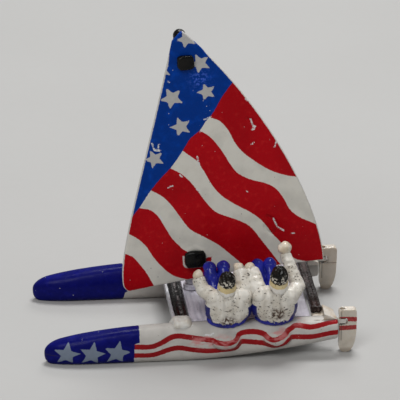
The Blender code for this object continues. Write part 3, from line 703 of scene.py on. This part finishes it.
def sail():
    """A plate with rounded rims and low bosses round its pegs, triangulated in its own plane."""
    outline = np.vstack([bezier(THROAT, (-7.25, 24.25), (-12.6, 9.0), TACK, 110),
                         bezier(TACK, (-12.15, 2.2), (-11.6, 1.3), CORNER, 8),
                         bezier(CORNER, (-2.0, 2.5), (10.0, 3.8), CLEW, 90),
                         bezier(CLEW, (23.0, 14.4), (14.3, 34.9), PEAK, 150), [PEAK, TIP]])
    before, after = np.roll(outline, 1, 0), np.roll(outline, -1, 0)
    along = after - before
    inward = np.stack([-along[:, 1], along[:, 0]], 1) / np.hypot(*along.T)[:, None]
    inner = outline + inward * RIM_INSET
    across, upward = np.arange(-12.5, 23.5, GRID), np.arange(1.0, 49.6, GRID)
    grid = np.stack(np.meshgrid(across, upward), -1).reshape(-1, 2)
    grid = grid[region(grid, inner) > GRID / 2 - 0.01]
    places = [Vector(q) for q in np.vstack([inner, grid])]
    count = len(inner)
    rim = [(k, (k + 1) % count) for k in range(count)]
    flat, _, triangles, origins, _, _ = delaunay_2d_cdt(places, rim, [], 1, 1e-5)
    flat = np.array([tuple(q) for q in flat])
    at = {origin: k for k, found in enumerate(origins) for origin in found if origin < count}
    upper, lower = (np.hypot(*(flat - peg).T) for peg in PEGS)
    rise = 0.16 * np.exp(-((lower - 1.9) / 0.35) ** 2) + 0.10 * np.exp(-(upper / 2.2) ** 4)
    vertices, faces, plane = [], [], []
    for y, out in ((SAIL_FRONT, -1.0), (SAIL_BACK, 1.0)):
        start = len(vertices)
        vertices += [rig(q[0], y + out * h, q[1]) for q, h in zip(flat, rise)]
        plane.append(flat)
        faces += [tuple(start + k for k in (t[::-1] if out > 0 else t)) for t in triangles]
    rows = [[at[k] for k in range(count)]]
    for inset, y in RIM_PROFILE:
        loop = outline + inward * inset
        rows.append([len(vertices) + k for k in range(count)])
        vertices += [rig(q[0], y, q[1]) for q in loop]
        plane.append(loop)
    rows.append([len(flat) + at[k] for k in range(count)])
    for a, b in zip(rows, rows[1:]):
        faces += [(a[k], a[(k + 1) % count], b[(k + 1) % count], b[k]) for k in range(count)]
    marks = sail_wear(np.vstack(plane), outline)
    obj = mesh_object("sail_plate", vertices, faces, marks)
    finish_piece(obj, SAIL_PAINT, "sail")


SAIL_PAINT = printed_paint("sail_print", BLUE, STAR, True, WHITE, (RED, RED_WORN))
sail()

# ------------------------ moulded pieces grown from their CAD shapes
# A sculpt takes points and normals in mm, and returns moved points and the marks that its paint reads.

BEAM_END_Y = 9.9
JACKET_HALF, FOLD_PITCH, SLEEVE_PITCH = 3.75, 1.45, 1.3
RUDDER_FRONT_X = 23.85
RUDDER_BANDS = (((23.0, 6.30), (24.0, 6.39), (25.4, 6.38), (26.7, 6.30)),
                ((23.0, 4.6), (24.6, 4.7), (27.2, 4.8)))
SLOT_Z, SLOT_HALF = 5.9, 0.8      # the slot that a gudgeon fills


def raised(p, n, height):
    return p + n * height[:, None]


def grooved_beam(middle, depth):
    """A beam with a groove along its top and ragged ends; the groove mark places a painted highlight along
    the top.
    """
    def sculpt(p, n):
        top = (n[:, 2] > 0.3).astype(float)
        groove = depth * np.exp(-((p[:, 0] - middle) / 0.24) ** 2)
        ragged = 0.16 * np.clip((np.abs(p[:, 1]) - BEAM_END_Y) / 0.6, 0, 1) * lattice_noise(p, 3.5, 8)
        wavy = 0.05 * lattice_noise(p * (1.0, 0.35, 1.0), 1.6, 3)
        # where the painted highlight line runs, along the top of the groove
        line = np.exp(-((p[:, 0] - middle) / 0.2) ** 2) * top
        return raised(p, n, wavy + ragged - groove * top), {"groove": line}
    return sculpt


def ridged_deck(p, n):
    """Low wavy ridges across the deck, strongest near the mast."""
    pitch = 1.05
    near = np.clip((4.5 - p[:, 0]) / 4.0, 0.25, 1)
    ridges = 0.07 * np.sin((p[:, 0] - 0.1 * np.sin(p[:, 1])) * 2 * math.pi / pitch) * near
    height = (ridges + 0.06 * lattice_noise(p, 0.5, 5) - 0.06) * (n[:, 2] > 0.5)
    return raised(p, n, height), {}


def lumps(depth, scale, seed, swell=0.0):
    """Uneven all over, and a little fuller by swell."""
    def sculpt(p, n):
        return raised(p, n, depth * lattice_noise(p, scale, seed) - depth * 0.3 + swell), {}
    return sculpt


def blob(swell, seed):
    """Swollen and lumpy, spreading at its foot, as a blob of glue or plastic."""
    def sculpt(p, n):
        middle = (p.min(0) + p.max(0)) / 2
        foot = np.clip((middle[2] + 0.3 - p[:, 2]) / 1.2, 0, 1)
        p = p + (p - middle) * (0.75, 0.15, 0.0) * foot[:, None] - (0.4, 0, 0.15)
        height = swell + 0.22 * lattice_noise(p, 0.9, seed) + 0.08 * lattice_noise(p, 2.2, seed)
        return raised(p, n, height), {}
    return sculpt


def button(centre, half, seed):
    """A peg head worn round at its corners."""
    def sculpt(p, n):
        flat = p[:, [0, 2]] - np.array(centre)
        share = np.abs(flat) / np.array(half)
        square = share.max(1)
        oval = (share ** COLLAR_POWER).sum(1) ** (1 / COLLAR_POWER)
        pull = np.where(p[:, 1] < SAIL_FRONT, square / np.maximum(oval, 1e-6), 1.0)
        q = p.copy()
        q[:, [0, 2]] = np.array(centre) + flat * pull[:, None]
        return raised(q, n, 0.10 * lattice_noise(p, 0.9, seed) + 0.04), {}
    return sculpt


def mast_foot(p, n):
    """Slightly wavy; the foot mark is above zero on the pale foot."""
    pale_top = 9.6
    return raised(p, n, 0.05 * lattice_noise(p, 0.7, 67)), {"foot": (pale_top - p[:, 2]).clip(-1, 1)}


def jacket(centre, patch, mate):
    """Folded cloth; the sleeve on the mate's side (+1 or -1) is the fuller one."""
    cx, _, cz = centre

    def sculpt(p, n):
        x, z = p[:, 0] - cx, p[:, 2] - cz
        torso = np.clip(1.25 - np.abs(x) / 3.6, 0, 1) * np.clip((p[:, 1] + 9.4) / -1.2, 0, 1)
        folds = np.sin(x * 2 * math.pi / FOLD_PITCH + 1.6 * lattice_noise(p, 0.45, 11) + 0.25 * z)
        slant = p[:, 2] + 0.6 * p[:, 1]
        rings = np.sin(slant * 2 * math.pi / SLEEVE_PITCH + 2 * lattice_noise(p, 0.6, 12))
        shoulder = np.exp(-((z - 2.2) / 1.3) ** 2) * np.clip(np.abs(x) / 2.2 - 0.3, 0, 1)
        height = 0.15 * folds * torso + (0.20 + 0.03 * rings) * (1 - torso) + 0.22 * shoulder
        height += 0.45 * np.clip((mate * x - 1.0) / 1.4, 0, 1) * np.clip((z + 2.0) / 1.5, 0, 1)
        height += 0.09 * lattice_noise(p, 1.3, 13) - 0.06
        reach = np.hypot(x / JACKET_HALF, (z - 0.1) / 3.8)
        hem = (reach - 0.83) * 3.6 + 0.12 * lattice_noise(p, 1.1, 14)
        hem = np.where((z < 0.8) & (p[:, 1] < -12.0), hem, -1.0)
        dirt = 1.2 - np.hypot((x - patch[0]) / 1.5, (z - patch[1]) / 1.3)
        marks = {"hem": hem.clip(-1, 1), "dirt": dirt.clip(-1, 1), "low": (z / JACKET_HALF).clip(-1, 1)}
        return raised(p, n, height), marks
    return sculpt


def crown(centre, swirl):
    """Hair combed in strands from the top down, the swirl turning them."""
    def sculpt(p, n):
        q = p - np.array(centre)
        angle = np.arctan2(q[:, 0], -q[:, 1])
        strands = np.sin(7 * angle + swirl * q[:, 2] + 1.2 * lattice_noise(p, 0.9, 21))
        height = 0.07 * strands + 0.05 * lattice_noise(p, 2.4, 22) - 0.05
        return raised(p, n, height), {"low": q[:, 2].clip(-2, 2)}
    return sculpt


def face(centre):
    """Two dot eyes, a short smile and a nose on the side that looks over the deck; a collar below."""
    eye_x, eye_z = 0.45, 0.15
    smile_line = smooth([(-0.4, -0.5), (0.0, -0.68), (0.4, -0.5)])

    def sculpt(p, n):
        q = p - np.array(centre)
        front = q[:, 1] > 0.3
        flat = q[:, [0, 2]]
        eyes = [0.15 - np.hypot(flat[:, 0] - sign * eye_x, (flat[:, 1] - eye_z) * 0.8) for sign in (-1, 1)]
        smile = 0.06 - line_distance(flat, smile_line)
        ink = np.where(front, np.maximum(np.max(eyes, 0), smile), -1.0)
        nose = 0.16 * np.exp(-(np.hypot(flat[:, 0], flat[:, 1] + 0.12) / 0.22) ** 2) * front
        robe = -1.60 - q[:, 2] + 0.25 * q[:, 1] + 0.1 * lattice_noise(p, 2.0, 32)
        height = 0.04 * lattice_noise(p, 1.5, 31) - 0.04 + nose
        return raised(p, n, height), {"ink": ink.clip(-1, 1), "robe": robe.clip(-1, 1)}
    return sculpt


def knees(p, n):
    """Trousers that are fuller and creased over the knees."""
    swell = 0.20 * np.clip((p[:, 1] + 11.2) / 1.2, 0, 1)
    creases = 0.08 * np.sin(p[:, 2] * 4.2 + 1.5 * lattice_noise(p, 0.7, 42)) * np.clip(swell * 4, 0, 1)
    return raised(p, n, swell + creases + 0.05 * lattice_noise(p, 1.3, 41) - 0.05), {}


def blade(printed):
    """A rudder with a seam down its head; the printed one carries on the hull's two bands."""
    def sculpt(p, n):
        flat = p[:, [0, 2]]
        red = np.full(len(p), -1.0)
        if printed:
            for band in RUDDER_BANDS:
                red = np.maximum(red, BAND_HALF * 0.95 - line_distance(flat, smooth(band)))
            red = np.where(n[:, 1] < -0.2, red, -1.0)
        groove = np.exp(-((p[:, 0] - RUDDER_FRONT_X - 0.45) / 0.12) ** 2) * (p[:, 2] > 2.2)
        ledge = np.exp(-((p[:, 2] - 5.2) / 0.12) ** 2) * (0.0 if printed else 1.0)
        lines = np.maximum(groove, ledge)
        depth = 0.07 * lines * (np.abs(n[:, 1]) > 0.5)
        wave = 0.05 * lattice_noise(p, 0.8, 51) - 0.05
        slot = np.exp(-((p[:, 2] - SLOT_Z) / SLOT_HALF) ** 6) * (p[:, 0] < RUDDER_FRONT_X + 1.6)
        wave = wave * (1 - slot) - 0.10 * slot
        marks = {"red": red.clip(-1, 1), "seam": 1 - lines, "tip": (p[:, 2] - 1.2).clip(-1, 1)}
        return raised(p, n, wave - depth), marks
    return sculpt


def beam_paint(name, colour, second, painted_sheen, line):
    """Painted sheen in streaks along the beam, with a painted highlight line along its groove."""
    along_y = (1.6, 0.22, 1.6)
    p, tone, finish = plain_paint(name, colour, second, rough=0.28, coat=0.10,
                                  streaks=(painted_sheen, along_y), specks=(CHIP, 1.8, 0.14, 0.10))
    # painted highlight line along the groove
    tone = p.mix(p.both(p.attribute("groove"), p.step(p.noise(1.4, 4.0), 0.42, 0.6)), tone, line)
    return p.done(tone, gloss=0.10, **finish)


def jacket_paint():
    """White with dark flecks, a brown patch low on the back and a blue hem."""
    p, tone, finish = plain_paint(
        "jacket_cloth", (0.68, 0.65, 0.59), (0.54, 0.50, 0.43), rough=0.36, coat=0.25,
        scatter=0.05, relief=0.08)
    patch = p.both(p.step(p.attribute("dirt"), 0.0, 0.7), p.step(p.noise(1.7, 5.0), 0.38, 0.58))
    tone = p.mix(patch, tone, (0.07, 0.035, 0.02))
    lower = p.step(p.attribute("low"), 0.5, -0.6)
    tall = (0.8, 1.0, 1.3)
    flecks = p.both(p.step(p.noise(2.6, 3.0, tall), 0.60, 0.63), p.step(p.noise(0.5, 2.0), 0.40, 0.55))
    dots = p.math("MAXIMUM", p.specks(1.45, 0.20, 0.36), p.both(p.specks(1.9, 0.24, 0.55), lower))
    tone = p.mix(p.math("MAXIMUM", dots, p.both(flecks, 0.9)), tone, FLECK)
    tone = p.mix(p.step(p.attribute("hem"), -0.05, 0.08), tone, (0.008, 0.010, 0.13))
    return p.done(tone, **finish)


def head_paint():
    """Cream skin, inked eyes and smile, and the white collar."""
    p, tone, finish = plain_paint(
        "head_cream", (0.72, 0.61, 0.36), (0.60, 0.47, 0.24), rough=0.42, scatter=0.08, relief=0.05,
        chips=((0.05, 0.04, 0.03), 0.62))
    robe = p.mix(p.specks(1.25, 0.20, 0.30), (0.72, 0.69, 0.64), FLECK)
    tone = p.mix(p.step(p.attribute("robe"), -0.06, 0.06), tone, robe)
    tone = p.mix(p.step(p.attribute("ink"), -0.03, 0.03), tone, (0.02, 0.015, 0.012))
    return p.done(tone, **finish)


def hair_paint():
    """Black, with pale patches on the lower half that are chipped paint and painted highlight together."""
    p, tone, finish = plain_paint(
        "hair_black", (0.003, 0.003, 0.002), (0.010, 0.007, 0.005), rough=0.22, coat=0.30, relief=0.10)
    # pale patches low on the hair: chipped paint and painted highlight together
    chips = p.both(p.step(p.noise(2.2, 4.0), 0.53, 0.57), p.step(p.attribute("low"), 0.9, -0.1))
    return p.done(p.mix(chips, tone, (0.62, 0.58, 0.50)), gloss=0.10, **finish)


def rudder_paint():
    """Milky plastic with the printed bands, dark seams and a yellowed tip."""
    p, tone, finish = plain_paint(
        "rudder_milky", (0.56, 0.51, 0.44), (0.48, 0.43, 0.36), rough=0.30, coat=0.4, scatter=0.35,
        specks=(DARK_SPECK, 1.8, 0.15, 0.15))
    worn = p.step(p.noise(2.0, 5.0), 0.42, 0.62)
    red = p.step(p.shaken("red", p.wobble(3.0, 0.2)), -0.04, 0.04)
    tone = p.mix(red, tone, p.mix(worn, RED_HULL, RED_HULL_WORN))
    tone = p.mix(p.both(p.step(p.attribute("seam"), 0.5, 0.1), 0.55), tone, (0.05, 0.04, 0.03))
    tone = p.mix(p.both(p.step(p.attribute("tip"), 0.0, -0.9), 0.5), tone, (0.20, 0.14, 0.09))
    return p.done(tone, **finish)


def mast_paint():
    """Black above a foot as pale as the deck."""
    p, tone, finish = plain_paint(
        "mast_black", *BLACKS, rough=0.24, coat=0.12, specks=(CHIP, 1.8, 0.12, 0.08))
    pale = p.mix(p.noise(1.0, 3.0), (0.58, 0.56, 0.60), (0.46, 0.44, 0.48))
    tone = p.mix(p.step(p.attribute("foot"), -0.1, 0.1), tone, pale)
    return p.done(tone, gloss=0.10, **finish)


PAINTS = {
    "mast": mast_paint(),
    # for each beam: black, second black, colour of the painted sheen streaks and of the painted highlight
    # line
    "front_beam": beam_paint("front_beam_black", (0.003, 0.002, 0.002), (0.007, 0.005, 0.005),
                             (0.025, 0.02, 0.02), (0.20, 0.18, 0.18)),
    "rear_beam": beam_paint("rear_beam_brown", (0.008, 0.004, 0.003), (0.020, 0.011, 0.009),
                            (0.08, 0.055, 0.05), (0.06, 0.04, 0.04)),
    "deck": simple_paint("deck_pale", (0.60, 0.58, 0.64), (0.48, 0.46, 0.52), rough=0.36,
                         specks=(DARK_SPECK, 1.7, 0.18, 0.2),
                         streaks=((0.40, 0.38, 0.44), (1.0, 0.12, 1.0))),
    "saddle": simple_paint("saddle_white", (0.64, 0.64, 0.62), (0.50, 0.46, 0.40), rough=0.38, scatter=0.1,
                           specks=(DARK_SPECK, 1.9, 0.2, 0.3)),
    "rear_saddle": simple_paint("saddle_beige", (0.60, 0.57, 0.52), (0.42, 0.34, 0.25), rough=0.42,
                                scatter=0.1, specks=(DARK_SPECK, 2.1, 0.25, 0.4)),
    "strip": simple_paint("edge_pale", (0.50, 0.50, 0.52), (0.38, 0.38, 0.42), rough=0.4,
                          specks=(DARK_SPECK, 2.0, 0.2, 0.3)),
    "black": simple_paint("gloss_black_plastic", *BLACKS, rough=0.24, coat=0.12, gloss=0.10,
                          specks=(CHIP, 1.8, 0.12, 0.08), relief=0.10),
    "jacket": jacket_paint(),
    "trousers": simple_paint("trousers_blue", (0.008, 0.012, 0.18), (0.015, 0.022, 0.34), rough=0.16,
                             coat=0.30, gloss=0.15, chips=((0.45, 0.45, 0.48), 0.68), relief=0.10),
    "head": head_paint(),
    "hair": hair_paint(),
    "hand": simple_paint("hand_milky", (0.68, 0.62, 0.52), (0.56, 0.46, 0.34), rough=0.30, coat=0.4,
                         scatter=0.25, specks=(DARK_SPECK, 2.4, 0.2, 0.2)),
    "rudder": rudder_paint(),
    "pin": simple_paint("pin_white", (0.60, 0.59, 0.56), (0.45, 0.42, 0.36), rough=0.35,
                        specks=(DARK_SPECK, 2.4, 0.2, 0.2)),
}

# node, paint, material slot, voxel size in mm, rounds of melting, sculpt
PIECES = [
    ("front_crossbeam", "front_beam", "black", 0.11, 5, grooved_beam(-3.05, 0.22)),
    ("rear_crossbeam", "rear_beam", "black", 0.11, 5, grooved_beam(20.2, 0.06)),
    ("front_beam_edge", "strip", "pale_deck", 0.10, 3, lumps(0.06, 1.1, 61)),
    ("trampoline_deck", "deck", "pale_deck", 0.14, 3, ridged_deck),
    ("port_front_saddle", "saddle", "white", 0.09, 8, blob(0.46, 62)),
    ("starboard_front_saddle", "saddle", "white", 0.09, 8, blob(0.46, 63)),
    ("port_rear_saddle", "rear_saddle", "white", 0.09, 8, lumps(0.12, 0.9, 64)),
    ("starboard_rear_saddle", "rear_saddle", "white", 0.09, 8, lumps(0.12, 0.9, 65)),
    ("mast_step", "deck", "pale_deck", 0.09, 5, lumps(0.05, 1.4, 66)),
    ("mast", "mast", "black", 0.12, 4, mast_foot),
    ("masthead_cap", "black", "black", 0.08, 8, lumps(0.04, 1.4, 68)),
    ("upper_sail_peg", "black", "black", 0.07, 12, button((-1.95, 50.45), (1.4, 1.3), 69)),
    ("lower_sail_peg", "black", "black", 0.07, 12, button((0.16, 13.33), PEG_HALF, 70)),
    ("port_rudder", "rudder", "milky_plastic", 0.08, 6, blade(True)),
    ("starboard_rudder", "rudder", "milky_plastic", 0.08, 6, blade(False)),
]
# middle of the head, middle of the back, dirty patch on it, swirl of the hair, side of the mate
CREW = {"forward": ((4.35, -12.9, 14.5), (4.45, -12.7, 9.15), (0.1, -1.6), 2.4, 1),
        "aft": ((13.3, -12.9, 15.0), (12.75, -12.7, 9.3), (0.2, -0.6), -1.6, -1)}
for word, (head, back, patch, swirl, mate) in CREW.items():
    PIECES += [
        (word + "_sailor_jacket", "jacket", "speckled_white", 0.09, 5, jacket(back, patch, mate)),
        (word + "_sailor_trousers", "trousers", "blue_paint", 0.11, 5, knees),
        (word + "_sailor_head", "head", "cream_paint", 0.07, 3, face(head)),
        (word + "_sailor_hair", "hair", "gloss_black", 0.07, 3, crown(head, swirl)),
        (word + "_sailor_left_hand", "hand", "milky_plastic", 0.07, 2, lumps(0.16, 1.2, 71)),
        (word + "_sailor_right_hand", "hand", "milky_plastic", 0.07, 2, lumps(0.24, 1.2, 72, 0.12)),
    ]
for node, paint, slot, voxel, rounds, sculpt in PIECES:
    vertices, normals, faces = softened(node, voxel, rounds)
    vertices, marks = sculpt(vertices, normals)
    piece = mesh_object(node + "_moulding", vertices, faces, marks)
    finish_piece(piece, PAINTS[paint], node)
for word in ("port", "starboard"):
    for part, paint in (("gudgeon", "pin"), ("rudder_pin", "black")):
        data = frame["nodes"][word + "_" + part].data
        data.materials.clear()
        data.materials.append(PAINTS[paint])

# ------------------------ floor, light and camera

FLOOR_HALF = 1.5          # metres
floor_corners = [(x * FLOOR_HALF, y * FLOOR_HALF, 0) for x, y in ((-1, -1), (1, -1), (1, 1), (-1, 1))]
floor_mesh = bpy.data.meshes.new("floor")
floor_mesh.from_pydata(floor_corners, [], [(0, 1, 2, 3)])
floor = bpy.data.objects.new("floor", floor_mesh)
bpy.context.scene.collection.objects.link(floor)
paper = Paint("floor_paper")
shade = paper.mix(paper.noise(0.02, 2.0), (0.448, 0.446, 0.438), (0.415, 0.411, 0.402))
shade = paper.mix(paper.specks(0.12, 0.045, 0.25), shade, (0.30, 0.30, 0.29))
shade = paper.mix(paper.step(paper.noise(0.5, 4.0), 0.3, 0.8, 0.10), shade, (0.40, 0.395, 0.385))
floor_mesh.materials.append(paper.done(shade, 0.8, gloss=0.1))

scene = bpy.context.scene
scene.view_settings.view_transform = "Standard"
scene.world = bpy.data.worlds.new("studio")
scene.world.use_nodes = True
background = scene.world.node_tree.nodes["Background"]
background.inputs["Color"].default_value = (1.0, 0.995, 0.985, 1.0)
background.inputs["Strength"].default_value = 0.26


def softbox(name, place, size, power):
    """An area light at a place in metres, turned to the foot of the boat's middle."""
    aim = (0.0, 0.0, 0.02)
    data = bpy.data.lights.new(name, "AREA")
    data.shape = "RECTANGLE"
    data.size, data.size_y = size
    data.energy = power
    lamp = bpy.data.objects.new(name, data)
    scene.collection.objects.link(lamp)
    direction = Vector(aim) - Vector(place)
    lamp.matrix_world = Matrix.Translation(place) @ direction.to_track_quat("-Z", "Y").to_matrix().to_4x4()


softbox("key", (-0.16, -0.34, 0.44), (0.26, 0.26), 1.28)
softbox("overhead", (0.06, 0.17, 0.58), (0.24, 0.17), 2.45)
softbox("back_rim", (0.16, 0.46, 0.40), (0.26, 0.18), 0.85)

AZIMUTH, ELEVATION, ROLL = math.radians(-6.917), math.radians(25.106), math.radians(0.876)
DISTANCE, FOCAL_SHARE = 796.07, 11.537     # mm, and focal length over the width of the picture
TARGET = Vector((0.987, 0.0, 23.918))
back = Vector((math.sin(AZIMUTH) * math.cos(ELEVATION), -math.cos(AZIMUTH) * math.cos(ELEVATION),
               math.sin(ELEVATION)))
right = Vector((math.cos(AZIMUTH), math.sin(AZIMUTH), 0.0))
up = back.cross(right)
across = right * math.cos(ROLL) + up * math.sin(ROLL)
upward = up * math.cos(ROLL) - right * math.sin(ROLL)
lens = bpy.data.cameras.new("camera")
lens.sensor_width = 36.0
lens.lens = FOCAL_SHARE * lens.sensor_width
lens.clip_start, lens.clip_end = 0.05, 10.0
camera = bpy.data.objects.new("camera", lens)
scene.collection.objects.link(camera)
turn = Matrix((across, upward, back)).transposed().to_4x4()
camera.matrix_world = Matrix.Translation((TARGET + back * DISTANCE) * MM) @ turn
scene.camera = camera
